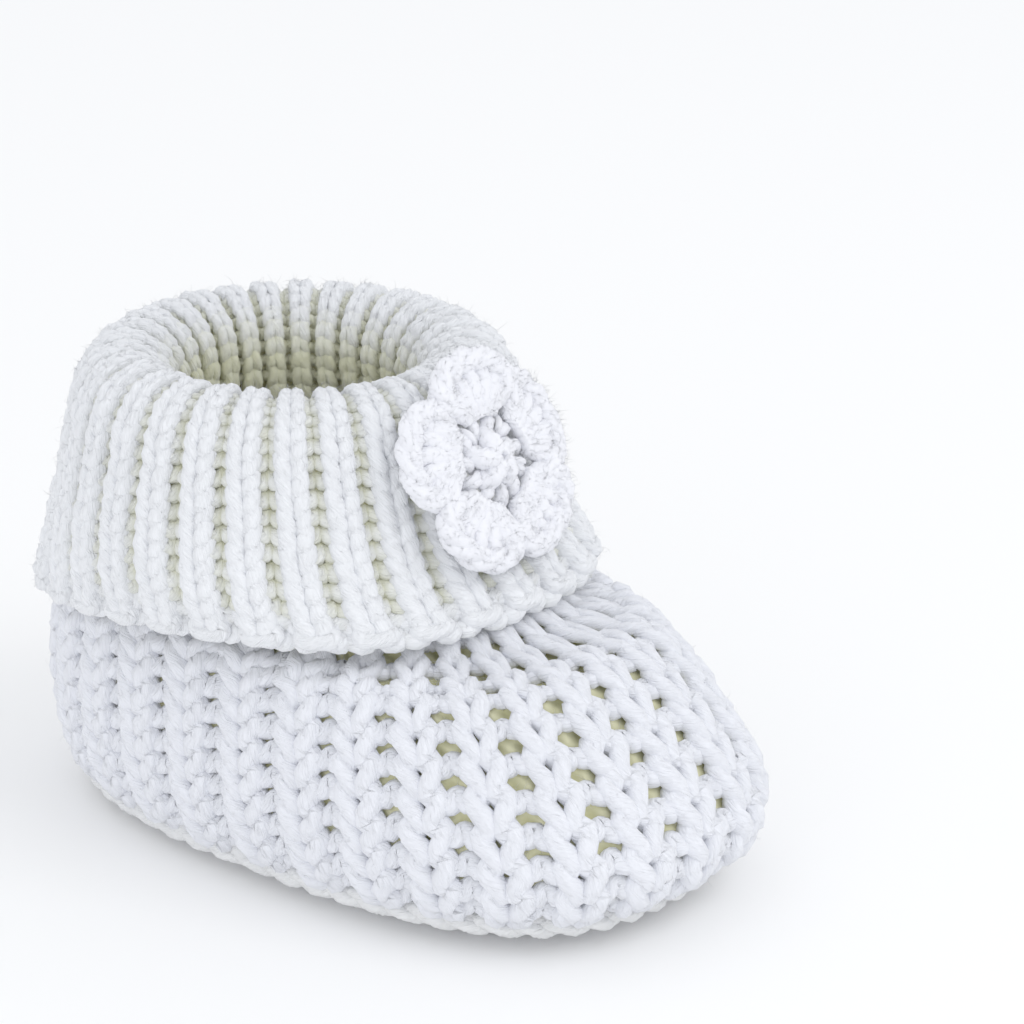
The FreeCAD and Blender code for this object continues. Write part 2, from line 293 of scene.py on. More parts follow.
def twisted_yarn_group():
    """Two-ply yarn: the plies' grooves wind round it as cos of twice the way round less its length over
    the ply turn, fine fibres run along it as stretched noise, and its colour goes by level from a painted
    shade colour, deep in the fabric, to the face colour."""
    group = bpy.data.node_groups.new("twisted_yarn", "ShaderNodeTree")
    for name, kind in (("Face Colour", "NodeSocketColor"), ("Painted Shade Colour", "NodeSocketColor"),
                       ("Ply Turn", "NodeSocketFloat"), ("Fibre Strength", "NodeSocketFloat")):
        group.interface.new_socket(name, in_out="INPUT", socket_type=kind)
    for name, kind in (("Colour", "NodeSocketColor"), ("Roughness", "NodeSocketFloat"),
                       ("Height", "NodeSocketFloat")):
        group.interface.new_socket(name, in_out="OUTPUT", socket_type=kind)
    given = group.nodes.new("NodeGroupInput").outputs
    result = group.nodes.new("NodeGroupOutput").inputs
    uv = node(group, "ShaderNodeUVMap", uv_map="yarn").outputs[0]
    length, share = node(group, "ShaderNodeSeparateXYZ", (0, uv)).outputs[:2]
    turned = sum_node(group, "DIVIDE", length, given["Ply Turn"])
    phase = sum_node(group, "SUBTRACT", sum_node(group, "MULTIPLY", share, 2.0), turned)
    ply = sum_node(group, "COSINE", sum_node(group, "MULTIPLY", phase, 2 * math.pi))
    along = node(group, "ShaderNodeCombineXYZ", (0, turned), (1, phase), (2, 0.0)).outputs[0]
    stretched = node(group, "ShaderNodeVectorMath", (0, along), (1, FIBRE_STRETCH),
                     operation="MULTIPLY").outputs[0]
    fibres = node(group, "ShaderNodeTexNoise", ("Vector", stretched), ("Scale", 1.6), ("Detail", 3.0),
                  ("Roughness", 0.7)).outputs[0]
    place = node(group, "ShaderNodeTexCoord").outputs["Object"]
    tufts = node(group, "ShaderNodeTexNoise", ("Vector", place), ("Scale", TUFT_SCALE),
                 ("Detail", 3.0)).outputs[0]
    raised = sum_node(group, "MULTIPLY", fibres, given["Fibre Strength"])
    grooved = sum_node(group, "MULTIPLY_ADD", ply, GROOVE_HEIGHT, raised)
    height = sum_node(group, "MULTIPLY_ADD", tufts, TUFT_HEIGHT, grooved)
    # Painted shade: the level, mottled by the tufts, mixes the shade colour into the face colour where the
    # yarn lies deep.
    level = node(group, "ShaderNodeAttribute", attribute_name="level").outputs["Fac"]
    mottled = sum_node(group, "MULTIPLY_ADD", tufts, TUFT_SHADE, level)
    shade = node(group, "ShaderNodeMapRange", (0, mottled), (1, DEEP_LEVEL), (2, FACE_LEVEL), (3, 0.0),
                 (4, 1.0), interpolation_type="SMOOTHSTEP").outputs[0]
    mixed = node(group, "ShaderNodeMix", ("Factor", shade), (6, given["Painted Shade Colour"]),
                 (7, given["Face Colour"]), data_type="RGBA").outputs[2]
    rough = node(group, "ShaderNodeMapRange", (0, fibres), (1, 0.3), (2, 0.7), (3, 0.78),
                 (4, 0.98)).outputs[0]
    group.links.new(mixed, result["Colour"])
    group.links.new(rough, result["Roughness"])
    group.links.new(height, result["Height"])
    return group


TWISTED_YARN = twisted_yarn_group()


def yarn_material(name, face, deep, ply_turn=PLY_TURN, fibre_strength=1.6, bump=0.26):
    """Soft white yarn: the twisted yarn group's colour, roughness and height, with sheen for its fluff. Face
    is the yarn's own colour, and deep is painted shade, an olive grey that the yarn takes deep in the fabric.
    The ply turn and the bump's height are in mm."""
    material = bpy.data.materials.new(name)
    material.use_nodes = True
    tree = material.node_tree
    shader = tree.nodes["Principled BSDF"]
    yarn = node(tree, "ShaderNodeGroup", node_tree=TWISTED_YARN)
    yarn.inputs["Face Colour"].default_value = colour(*face)
    yarn.inputs["Painted Shade Colour"].default_value = colour(*deep)
    yarn.inputs["Ply Turn"].default_value = ply_turn
    yarn.inputs["Fibre Strength"].default_value = fibre_strength
    relief = node(tree, "ShaderNodeBump", ("Height", yarn.outputs["Height"]), ("Strength", 1.0),
                  ("Distance", bump * MM)).outputs[0]
    tree.links.new(yarn.outputs["Colour"], shader.inputs["Base Color"])
    tree.links.new(yarn.outputs["Roughness"], shader.inputs["Roughness"])
    tree.links.new(relief, shader.inputs["Normal"])
    shader.inputs["Sheen Weight"].default_value = 0.35
    shader.inputs["Sheen Roughness"].default_value = 0.5
    shader.inputs["Specular IOR Level"].default_value = 0.25
    return material


SOLE_MIDDLE = 20.6          # how far in from the sole's outline its middle line lies
SOLE_ROUNDS = 9
FIRST_ROUND, ROUND_GROWTH = 11, 2       # pairs of stitches in the first round, and more in each next
SOLE_EDGE = 0.52            # how far the sole turns up, in rings
# A look's shares are of a rib's width, rise and arch are in rows, and the rest in mm, as course says.
SOLE_LOOK = {"plain": True, "knit_share": 0.5, "lean": 0.2, "rise": 1.75, "arch": 0.0,
             "depth": 0.5, "sink": 0.0, "radius": 0.95, "thickness": 0.5, "finest": 0.6, "shade": 0.5}

# The second colour is painted shade, an olive grey that the stitches take where they lie deep in the fabric.
sole_yarn = yarn_material("sole_yarn", (0.905, 0.91, 0.93), (0.76, 0.75, 0.60))


def sole_rings(middle):
    """Rings of the sole's face, from that far in from its outline out to it, and up the sole's edge."""
    half_width, toe_y, heel_y, _, _, bluntness = FOOT_RINGS[0]
    flat = [(half_width - inset, toe_y + inset, heel_y - inset, 0.0, 0.0, bluntness)
            for inset in np.linspace(middle, 1.2, 24)]
    return flat + rings_at(FOOT_RINGS, np.linspace(0.04, SOLE_EDGE, 12)).tolist()


sole_cloth = fabric(sole_rings(SOLE_MIDDLE))
sole_strands = [course(sole_cloth, (number + 0.5) / SOLE_ROUNDS, 1 / SOLE_ROUNDS,
                       FIRST_ROUND + ROUND_GROWTH * number, 0.0, SOLE_LOOK, samples=12)
                for number in range(SOLE_ROUNDS)]
yarn_piece("sole_stitches", sole_strands, sole_yarn, "root", ["sole"])

# --------------------------------------------------------------------------------------------- upper
# The upper is knitted round with the same yarn, held loosely: wales of V-shaped stitches alternate with
# sunk ladders, they fan out round the toe, and holes show between them where the fabric is stretched.

FOOT_RIBS = 28
FOOT_ROWS = 12
FOOT_START = 0.68           # where the first rib begins, in ribs from the toe
FOOT_LOOK = {"plain": False, "knit_share": 0.67, "lean": 0.25, "rise": 1.45, "arch": 0.12,
             "depth": 0.5, "sink": 0.25, "radius": 1.36, "thickness": 0.16, "finest": 0.9, "shade": 0.55}
UPPER_TOP = 4.4             # in rings, under the cuff
TOE_CENTRE, HEEL_CENTRE, WALE_LEAN = -12.0 * MM, 18.0 * MM, 0.2     # what the wales fan out from

# The second colour is painted shade for the sunk ladders and the holes between the wales.
upper_yarn = yarn_material("upper_yarn", (0.91, 0.92, 0.955), (0.78, 0.77, 0.61))
foot_places = np.linspace(SOLE_EDGE, UPPER_TOP, 130)
widest = int(np.argmin(abs(foot_places - 2)))
foot_cloth = fabric(rings_at(FOOT_RINGS, foot_places), fan=(widest, TOE_CENTRE, HEEL_CENTRE, WALE_LEAN))
foot_strands = [course(foot_cloth, (row + 0.5) / FOOT_ROWS, 1 / FOOT_ROWS, FOOT_RIBS, FOOT_START,
                       FOOT_LOOK) for row in range(FOOT_ROWS)]
yarn_piece("foot_stitches", foot_strands, upper_yarn, "root", ["foot_upper"])

# ------------------------------------------------------------------------------------------- ribbing
# The ribbed ankle goes up from the foot, over a rounded crest and down again as the turned cuff. It is one
# fabric of knit and purl wales, and its face is the opening's wall as well as the outside of the cuff.

CUFF_RINGS = [              # from the hem up to the start of the crest
    (31.4, -22.6, 50.6, 36.2, 28.6, 2.4),
    (32.7, -17.7, 47.7, 41.6, 41.2, 2.0),
    (29.1, -12.5, 45.7, 53.4, 53.4, 2.0),
]
RIM_Y, RIM_Z = 16.6, 53.4   # the crest's middle and the height where it starts
CREST_OUTER, CREST_INNER = 29.1, 13.4
CREST_RISE = 1.16           # the soft crest stands this much higher than a round one
ANKLE_BOTTOM = (15.7, -0.1, 31.3, 41.4, 41.4, 2.0)      # the opening's wall where the foot begins
PROFILE_ROUNDS = 30         # how often the profile is averaged with its neighbours, to round its kinks
RIBS = 30
RIB_START = 0.68            # where the first rib begins, in ribs from the toe
RIB_ROWS = 27
CUFF_TOP, CREST_TOP = 11, 22            # rows of the outside of the cuff, and of it and the crest
SHADE_START_ROW, SHADE_RAMP_ROWS = 15, 6            # rounds given more and more painted shade, down inside the opening
HEM_ROWS = 2                            # rounds that the hem draws level
RIB_LOOK = {"plain": False, "knit_share": 0.63, "lean": 0.175, "rise": 1.8, "arch": 0.25,
            "depth": 0.55, "sink": 0.7, "radius": 1.3, "thickness": 0.182, "finest": 0.72, "shade": 0.0}
HEM_LOOK = dict(RIB_LOOK, sink=0.35, shade=0.5)

# The second colour is painted shade for the valleys between the ribs and the inside of the opening.
rib_yarn = yarn_material("rib_yarn", (0.92, 0.93, 0.95), (0.81, 0.81, 0.65))
turn = np.linspace(0, math.pi, 41)[1:]
tube = (CREST_OUTER - CREST_INNER) / 2
reach = CREST_OUTER - tube + tube * np.cos(turn)
rise = RIM_Z + CREST_RISE * tube * np.sin(turn)
crest_rings = np.stack([reach, RIM_Y - reach, RIM_Y + reach, rise, rise, 2 + 0 * turn], axis=-1)
wall_rings = rings_at([crest_rings[-1], ANKLE_BOTTOM], np.linspace(0, 1, 16)[1:])
profile = np.concatenate([rings_at(CUFF_RINGS, np.linspace(0, 2, 50)), crest_rings, wall_rings])
for _ in range(PROFILE_ROUNDS):
    profile[1:-1] = (profile[:-2] + 2 * profile[1:-1] + profile[2:]) / 4
rib_cloth = fabric(profile)
# The rounds down inside the opening take painted shade, more with each round.
rib_strands = [course(rib_cloth, (row + 0.9) / RIB_ROWS, 1 / RIB_ROWS, RIBS, RIB_START,
                      HEM_LOOK if row < HEM_ROWS else RIB_LOOK,
                      fade=min(max((row - SHADE_START_ROW) / SHADE_RAMP_ROWS, 0), 1)) for row in range(RIB_ROWS)]
yarn_piece("cuff_ribbing", rib_strands[:CUFF_TOP], rib_yarn, "root", ["turned_cuff"])
yarn_piece("crest_ribbing", rib_strands[CUFF_TOP:CREST_TOP], rib_yarn, "root", ["cuff_rim"])
yarn_piece("ankle_ribbing", rib_strands[CREST_TOP:], rib_yarn, "root", ["ankle_tube"])

# ------------------------------------------------------------------------------------- bound-off hem
# The last round is bound off: each rib ends in a loop that hangs a little below the hem and curls outwards,
# and the strand goes back up between the ribs.

HEM_LOOPS = (               # in mm: lowest place up the fabric, climb, height over the face and radius
    (0.2, 2.6, -1.0, 1.05),
    (1.2, 1.6, -2.2, 0.95),
)
HEM_SWING = 0.14            # how far the loop's two sides lean apart, in ribs
HEM_DIP = 1.4               # how much deeper the strand lies between the ribs, in mm
FABRIC_LENGTH = 60.0        # of the ribbing from hem to ankle, in mm

around = np.linspace(0, 1, RIBS * 20, endpoint=False)
rib = 2 * np.pi * (around * RIBS - RIB_START - RIB_LOOK["knit_share"] / 2)
lift = 0.5 - 0.5 * np.cos(rib)
swing = around + HEM_SWING * np.sin(2 * rib) / RIBS
hem_strands = []
for lowest, rib_climb, height, radius in HEM_LOOPS:
    path, facing = on_fabric(rib_cloth, swing, (lowest + rib_climb * lift) / FABRIC_LENGTH,
                             (height - HEM_DIP * lift) * MM)
    # Painted shade: where the strand dips between the ribs its level falls to 0.45, so it takes part of the
    # shade colour.
    hem_strands.append(strand(path, facing, radius * MM, 0.95 - 0.5 * lift))
yarn_piece("hem_loops", hem_strands, rib_yarn, "root", ["cuff_bind_off"])

# --------------------------------------------------------------------------------------------- seams
# A round of slanting stitches joins the sole to the upper, a row of small ones closes the back of the heel,
# and the yarn's end is darned in round the inside of the ankle.

SEAM_RADIUS, SEAM_STITCHES = 0.95, 52
SEAM_PLACE, SEAM_SWING = 0.006, 0.011       # the seam's middle and swing, as shares of the way up the upper
HEEL_SEAM_Z, HEEL_STITCHES, HEEL_STITCH_WIDTH = (3.8, 26.5), 16, 1.1
TAIL_REACH, TAIL_Y, TAIL_Z = 14.3, 16.2, 46.0       # of the arc of the darned end, about the opening's middle
TAIL_ANGLE, TAIL_WAVES, TAIL_DIP = 24.0, 4, 0.7     # half the arc in degrees, and how it weaves

# The second colour is painted shade for the seams where they sink into the fabric.
seam_yarn = yarn_material("seam_yarn", (0.93, 0.935, 0.94), (0.84, 0.83, 0.68))
around = np.arange(SEAM_STITCHES * 20) / (SEAM_STITCHES * 20)
seam_strands = []
for phase in (0.0, math.pi):
    swing = np.pi * SEAM_STITCHES * around + phase
    path, facing = on_fabric(foot_cloth, around, SEAM_PLACE + SEAM_SWING * np.cos(swing),
                             (-0.75 + 0.5 * np.sin(swing)) * MM)
    seam_strands.append(strand(path, facing, SEAM_RADIUS * MM, 0.9))
yarn_piece("sole_seam_stitches", seam_strands, seam_yarn, "root", ["sole_seam"])

heel_column = foot_cloth[0][:, foot_cloth[0].shape[1] // 2]
up = np.linspace(0, 1, 160)
heel_z = (HEEL_SEAM_Z[0] + (HEEL_SEAM_Z[1] - HEEL_SEAM_Z[0]) * up) * MM
order = np.argsort(heel_column[:, 2])
heel_y = np.interp(heel_z, heel_column[order, 2], heel_column[order, 1])
zigzag = HEEL_STITCH_WIDTH * np.sin(np.pi * HEEL_STITCHES * up)
depth = 0.7 - 0.5 * np.cos(2 * np.pi * HEEL_STITCHES * up)
path = np.stack([zigzag * MM, heel_y - depth * MM, heel_z], axis=-1)
backwards = np.broadcast_to([0.0, 1.0, 0.0], path.shape)
heel_strand = strand(path, backwards, 0.62 * MM, 0.8, closed=False)
yarn_piece("heel_seam_stitches", [heel_strand], seam_yarn, "root", ["heel_seam"])

angle = np.radians(np.linspace(-TAIL_ANGLE, TAIL_ANGLE, 80))
wave = TAIL_DIP * np.sin(TAIL_WAVES * np.pi * angle / angle[-1])
reach = TAIL_REACH + wave
path = np.stack([reach * np.sin(angle), TAIL_Y + reach * np.cos(angle), TAIL_Z + wave / 2], axis=-1) * MM
inwards = np.stack([-np.sin(angle), -np.cos(angle), 0 * angle], axis=-1)
# Painted shade: the darned end inside the ankle has level 0.1, which gives it nearly the whole shade colour.
tail_strand = strand(path, inwards, 0.6 * MM, 0.1, closed=False)
yarn_piece("darned_end", [tail_strand], seam_yarn, "root", ["woven_tail"])

# ------------------------------------------------------------------------------------ inside of fabric
# The back of each fabric, where the yarn lies closer and flatter than on its face. It shows through the
# holes between the stitches and inside the opening. Behind the upper and the ribbing it is painted a dark
# olive that stands for the shade there; under the foot it keeps a light colour, and on both the hollows
# between the purl bumps are painted darker as shade.

LINING_DEPTH, LINING_THICKNESS = 2.9, 0.5
BUMPS_ROUND, BUMPS_UP = 60.0, 14.0      # purl bumps round a fabric and up it


def back_of(name, cloth, low, high, material):
    """A closed skin behind a fabric: its grid moved in by the lining's depth, and again by its thickness
    more, with the two joined at both ends."""
    rows, columns = 96, 240
    around = np.arange(columns) / columns
    up = np.concatenate([np.linspace(low, high, rows), np.linspace(high, low, rows)])[:, None]
    depth = np.repeat([LINING_DEPTH, LINING_DEPTH + LINING_THICKNESS], rows)[:, None] * MM
    shape = (2 * rows, columns)
    points = on_fabric(cloth, np.broadcast_to(around, shape), np.broadcast_to(up, shape),
                       np.broadcast_to(-depth, shape))[0]
    i, j = np.arange(2 * rows)[:, None], np.arange(columns)[None, :]
    after, beside = (i + 1) % (2 * rows), (j + 1) % columns
    quads = np.stack(np.broadcast_arrays(i * columns + j, i * columns + beside, after * columns + beside,
                                         after * columns + j), axis=-1).reshape(-1, 4)
    mesh = bpy.data.meshes.new(name)
    mesh.from_pydata(points.reshape(-1, 3).tolist(), [], quads.tolist())
    turn, rise = np.array([0, 1, 1, 0]), np.array([0, 0, 1, 1])
    uv = np.stack(np.broadcast_arrays((j[..., None] + turn) / columns, (i[..., None] + rise) / rows),
                  axis=-1)
    mesh.uv_layers.new(name="fabric").data.foreach_set("uv", uv.astype(np.float32).ravel())
    mesh.shade_smooth()
    mesh.materials.append(material)
    return placed_piece(name, mesh, "root")


def lining_material(name, raised, sunk):
    """Purl bumps: the product of waves round and up the fabric, with tufts over them, in two colours:
    raised, and sunk, a darker colour painted as shade in the hollows between the bumps.
    """
    material = bpy.data.materials.new(name)
    material.use_nodes = True
    tree = material.node_tree
    shader = tree.nodes["Principled BSDF"]
    uv = node(tree, "ShaderNodeUVMap", uv_map="fabric").outputs[0]
    split = node(tree, "ShaderNodeSeparateXYZ", (0, uv)).outputs
    waves = [sum_node(tree, "SINE", sum_node(tree, "MULTIPLY", way, 2 * math.pi * count))
             for way, count in ((split[0], BUMPS_ROUND), (split[1], BUMPS_UP))]
    bumps = sum_node(tree, "MULTIPLY", *waves)
    place = node(tree, "ShaderNodeTexCoord").outputs["Object"]
    tufts = node(tree, "ShaderNodeTexNoise", ("Vector", place), ("Scale", 500.0),
                 ("Detail", 3.0)).outputs[0]
    height = sum_node(tree, "MULTIPLY_ADD", tufts, 0.6, bumps)
    shade = node(tree, "ShaderNodeMapRange", (0, height), (1, -0.8), (2, 1.4), (3, 0.0),
                 (4, 1.0)).outputs[0]
    mixed = node(tree, "ShaderNodeMix", ("Factor", shade), (6, colour(*sunk)),
                 (7, colour(*raised)), data_type="RGBA").outputs[2]
    relief = node(tree, "ShaderNodeBump", ("Height", height), ("Strength", 0.8),
                  ("Distance", 0.6 * MM)).outputs[0]
    tree.links.new(mixed, shader.inputs["Base Color"])
    tree.links.new(relief, shader.inputs["Normal"])
    shader.inputs["Roughness"].default_value = 0.95
    shader.inputs["Specular IOR Level"].default_value = 0.1
    return material


# Painted shade: the back of the upper and the ribbing is a dark olive for the shade seen through the holes;
# the insole's sunk colour is painted shade between its bumps.
back_painted_shade = lining_material("back_painted_shade", (0.84, 0.83, 0.66), (0.68, 0.67, 0.47))
insole = lining_material("insole", (0.94, 0.94, 0.89), (0.86, 0.86, 0.77))
whole_sole_cloth = fabric(sole_rings(FOOT_RINGS[0][0] - 0.1))
back_of("sole_back", whole_sole_cloth, 0.0, 0.93, insole)
whole_foot_cloth = fabric(rings_at(FOOT_RINGS, np.linspace(0.45, 5, 140)))
back_of("upper_back", whole_foot_cloth, 0.0, 1.0, back_painted_shade)
back_of("ribbing_back", rib_cloth, 0.02, 1.0, back_painted_shade)

# -------------------------------------------------------------------------------------------- flower
# A crocheted flower is stitched to the front of the cuff: a ring of stitches, a raised cluster in its
# middle, and five petals, each a fan of tall stitches with a thick rolled edge.

FLOWER_Z, FLOWER_TILT = 51.5, math.radians(24.0)
PETALS = 5
PETAL_LIFT, PETAL_ROOT = 1.9, 6.0       # a petal's root, off the cuff's face and from the flower's middle
PETAL_WRAP = math.radians(16.0)         # how far the side petals lean back with the round of the cuff
RING_REACH, RING_WRAPS, RING_YARN = 4.35, 11, 0.9
BOBBLE_LOBES, BOBBLE_REACH, BOBBLE_RISE, BOBBLE_SWIRL = 5, 2.9, 3.3, 0.7
STITCH_REACH, STITCH_SPAN, STITCH_RISE, STITCH_YARN = 4.3, 1.9, 2.6, 0.42       # of the sewing stitches

# The second colour is painted shade for the hollows under the flower's wraps and between its stitches.
flower_yarn = yarn_material("flower_yarn", (0.92, 0.925, 0.955), (0.80, 0.80, 0.64), 3.4, 1.2, 0.09)
front = rib_cloth[0][:70, 0]
flower_middle = np.array([0, np.interp(FLOWER_Z * MM, front[:, 2], front[:, 1]), FLOWER_Z * MM])
right = np.array([1.0, 0.0, 0.0])
upward = np.array([0.0, math.sin(FLOWER_TILT), math.cos(FLOWER_TILT)])
outward = np.array([0.0, -math.cos(FLOWER_TILT), math.sin(FLOWER_TILT)])


def in_frame(x, y, z, origin, axes):
    """Points given in mm along three axes from an origin."""
    x, y, z = np.broadcast_arrays(x, y, z)
    return origin + (x[:, None] * axes[0] + y[:, None] * axes[1] + z[:, None] * axes[2]) * MM


face = (right, upward, outward)
turn = 2 * np.pi * np.arange(420) / 420
wraps = RING_WRAPS * turn
reach = RING_REACH + np.cos(wraps)
path = in_frame(reach * np.cos(turn), reach * np.sin(turn), 1.5 + np.sin(wraps), flower_middle, face)
facing = in_frame(np.cos(turn) * np.cos(wraps), np.sin(turn) * np.cos(wraps), np.sin(wraps), 0, face) / MM
core = in_frame(RING_REACH * np.cos(turn), RING_REACH * np.sin(turn), 1.4, flower_middle, face)
# Painted shade: the wraps' undersides, towards the cuff, take the shade colour by the sine of their turn, and
# the core under them much of it.
ring_strands = [strand(path, facing, RING_YARN * MM, 0.7 + 0.3 * np.sin(wraps)),
                strand(core, np.broadcast_to(outward, core.shape), RING_YARN * MM, 0.3)]
yarn_piece("flower_ring_stitches", ring_strands, flower_yarn, "root", ["flower_ring"])

climb = np.linspace(0, 1, 20)
lobes = []
for lobe in range(BOBBLE_LOBES):
    angle = 2 * np.pi * lobe / BOBBLE_LOBES + BOBBLE_SWIRL * climb
    reach = BOBBLE_REACH * np.cos(climb * math.pi / 2 * 0.9)
    rise = 0.9 + BOBBLE_RISE * np.sin(climb * math.pi / 2)
    path = in_frame(reach * np.cos(angle), reach * np.sin(angle), rise, flower_middle, face)
    facing = in_frame(np.cos(angle), np.sin(angle), 0.6 + climb, 0, face) / MM
    # Painted shade: each lobe takes more of the shade colour low down, where it meets the ring.
    lobes.append(strand(path, facing, (1.75 - 0.55 * climb) * MM, 0.6 + 0.4 * climb, closed=False))
yarn_piece("flower_bobble_stitches", lobes, flower_yarn, "root", ["flower_bobble"])

arch = np.linspace(0, math.pi, 16)
sewing = []
for number in range(PETALS):
    angle = math.radians(90 + (number + 0.5) * 360 / PETALS)
    away = (math.cos(angle), math.sin(angle))
    reach = STITCH_REACH + STITCH_SPAN * np.cos(arch)
    path = in_frame(reach * away[0], reach * away[1], 0.6 + STITCH_RISE * np.sin(arch), flower_middle, face)
    facing = in_frame(np.cos(arch) * away[0], np.cos(arch) * away[1], np.sin(arch), 0, face) / MM
    # The sewing stitches keep level 0.6, which gives them a little painted shade.
    sewing.append(strand(path, facing, STITCH_YARN * MM, 0.6, closed=False))
yarn_piece("flower_sewing", sewing, flower_yarn, "root", ["flower_stitches"])

POSTS, POST_FAN = 7, math.radians(98)
PETAL_MIDDLE, POST_LENGTH, POST_WIDTH = 3.1, 2.6, 5.0       # from the root, in mm, then to the posts' tips
RIM_LENGTH, RIM_WIDTH, RIM_SWEEP = 3.3, 5.4, math.radians(150)
RIM_STRANDS, RIM_TURNS, RIM_TWIST = 3, 3, (0.6, 0.5)        # and how far they wind, across and up


def petal_strands(origin, axes):
    """A petal's yarn, with x along it, y across it and z off its face, in mm. Posts fan out from the root
    and swell towards their tips. Along the petal's oval edge strands are twisted round each other: at an
    angle about its middle x goes with the cosine and y with the sine, and both ends are tucked in."""
    strands = []
    for post in range(POSTS):
        share = 2 * post / (POSTS - 1) - 1
        tip_x = PETAL_MIDDLE + POST_LENGTH * math.cos(share * POST_FAN)
        tip_y = POST_WIDTH * math.sin(share * POST_FAN)
        x = -0.6 + (tip_x + 0.6) * climb
        y = 1.9 * share * (1 - climb) + tip_y * climb
        z = 0.9 + 0.5 * np.sin(math.pi * climb) - 0.2 * climb
        path = in_frame(x, y, z, origin, axes)
        facing = np.broadcast_to(axes[2], path.shape)
        radius = (0.95 + 0.65 * climb) * MM
        strands.append(strand(path, facing, radius, 0.8 + 0.2 * climb, closed=False))
    place = np.linspace(-1, 1, 150)
    bend = place * RIM_SWEEP
    tuck = np.clip((abs(place) - 0.75) / 0.25, 0, 1)
    for number in range(RIM_STRANDS):
        wind = np.pi * RIM_TURNS * place + 2 * np.pi * number / RIM_STRANDS
        x = PETAL_MIDDLE + (RIM_LENGTH + RIM_TWIST[0] * np.cos(wind)) * np.cos(bend)
        y = (RIM_WIDTH + RIM_TWIST[0] * np.cos(wind)) * np.sin(bend) * (1 - 0.25 * tuck)
        z = 1.5 + RIM_TWIST[1] * np.sin(wind) - 0.7 * tuck
        path = in_frame(x, y, z, origin, axes)
        facing = np.broadcast_to(axes[2], path.shape)
        strands.append(strand(path, facing, (1.15 - 0.3 * tuck) * MM, 0.95, closed=False))
    return strands


petals = []
for number in range(PETALS):
    angle = math.radians(90 + number * 360 / PETALS)
    lean = PETAL_WRAP * abs(math.cos(angle))
    flat = right * math.cos(angle) + upward * math.sin(angle)
    along = flat * math.cos(lean) - outward * math.sin(lean)
    across = upward * math.cos(angle) - right * math.sin(angle)
    root = flower_middle + (flat * PETAL_ROOT + outward * PETAL_LIFT) * MM
    petals.append(petal_strands(root, (along, across, np.cross(along, across))))
    yarn_piece(f"petal_{number + 1}_stitches", petals[-1], flower_yarn, f"petal_{number + 1}_body",
               [f"petal_{number + 1}"])

# --------------------------------------------------------------------------------------- loose fibres
# Soft yarn sheds a halo of fine fibres, which curl away from the strands, most of all on the flower.

FIBRE_RADIUS = 0.022 * MM
FIBRE_POINTS = 4
OUTWARDS, ALONG, SIDEWAYS = 0.45, 0.6, 0.35     # how far a fibre goes each way, as shares of its length
PROUD_LEVEL = 0.45          # fibres stand on yarn above this level

# The second colour is painted shade, but these fibres never take it, as their level is 1 everywhere.
fibre_material = yarn_material("loose_fibres", (0.95, 0.955, 0.975), (0.88, 0.88, 0.84))


def fluff(name, strands, fibres, length, body, seed):
    """Fibres on strands, drawn at random. A fibre leaves the yarn's skin outwards and at s along it, from
    0 to 1, lies at outwards times sin of its curl times s, plus one random way times s and another times
    s squared. It is a thin three-sided tube that narrows to its tip."""
    draw = np.random.default_rng(seed)
    skins, middles = [], []
    for rings, _, _, level in strands:
        keep = level > PROUD_LEVEL
        centre = np.broadcast_to(rings.mean(axis=1, keepdims=True), rings.shape)
        skins.append(rings[keep])
        middles.append(centre[keep])
    skin, middle = np.concatenate(skins), np.concatenate(middles)
    chosen = draw.integers(0, len(skin), fibres)
    start, out = skin[chosen], skin[chosen] - middle[chosen]
    out /= np.linalg.norm(out, axis=1, keepdims=True)
    sideways = draw.normal(size=(fibres, 3))
    sideways /= np.linalg.norm(sideways, axis=1, keepdims=True)
    size = length * draw.uniform(0.4, 1.3, (fibres, 1, 1))
    curl = draw.uniform(1.2, 3.0, (fibres, 1, 1))
    s = np.linspace(0, 1, FIBRE_POINTS)[None, :, None]
    bend = draw.normal(size=(fibres, 3))
    path = start[:, None] + size * (OUTWARDS * np.sin(curl * s) * out[:, None]
                                    + ALONG * s * sideways[:, None] + SIDEWAYS * s ** 2 * bend[:, None])
    direction = np.gradient(path, axis=1)
    direction /= np.linalg.norm(direction, axis=2, keepdims=True)
    side = np.cross(direction, draw.normal(size=(fibres, 1, 3)))
    side /= np.linalg.norm(side, axis=2, keepdims=True)
    up = np.cross(side, direction)
    angle = 2 * np.pi * np.arange(3) / 3
    spoke = np.cos(angle)[:, None] * side[:, :, None] + np.sin(angle)[:, None] * up[:, :, None]
    points = path[:, :, None] + FIBRE_RADIUS * (1 - 0.75 * s[..., None]) * spoke
    first = (np.arange(fibres) * FIBRE_POINTS * 3)[:, None, None]
    i, j = np.arange(FIBRE_POINTS - 1)[:, None] * 3, np.arange(3)[None, :]
    beside = (j + 1) % 3
    quads = np.stack(np.broadcast_arrays(first + i + j, first + i + 3 + j, first + i + 3 + beside,
                                         first + i + beside), axis=-1).reshape(-1, 4)
    root_caps = first[:, 0] + np.arange(3)
    tip_caps = first[:, 0] + (FIBRE_POINTS - 1) * 3 + np.arange(3)[::-1]
    mesh = bpy.data.meshes.new(name)
    mesh.from_pydata(points.reshape(-1, 3).tolist(), [],
                     quads.tolist() + root_caps.tolist() + tip_caps.tolist())
    mesh.uv_layers.new(name="yarn")
    whole = np.ones(len(mesh.vertices))
    mesh.attributes.new("level", "FLOAT", "POINT").data.foreach_set("value", whole)
    mesh.shade_smooth()
    mesh.materials.append(fibre_material)
    return placed_piece(name, mesh, body)


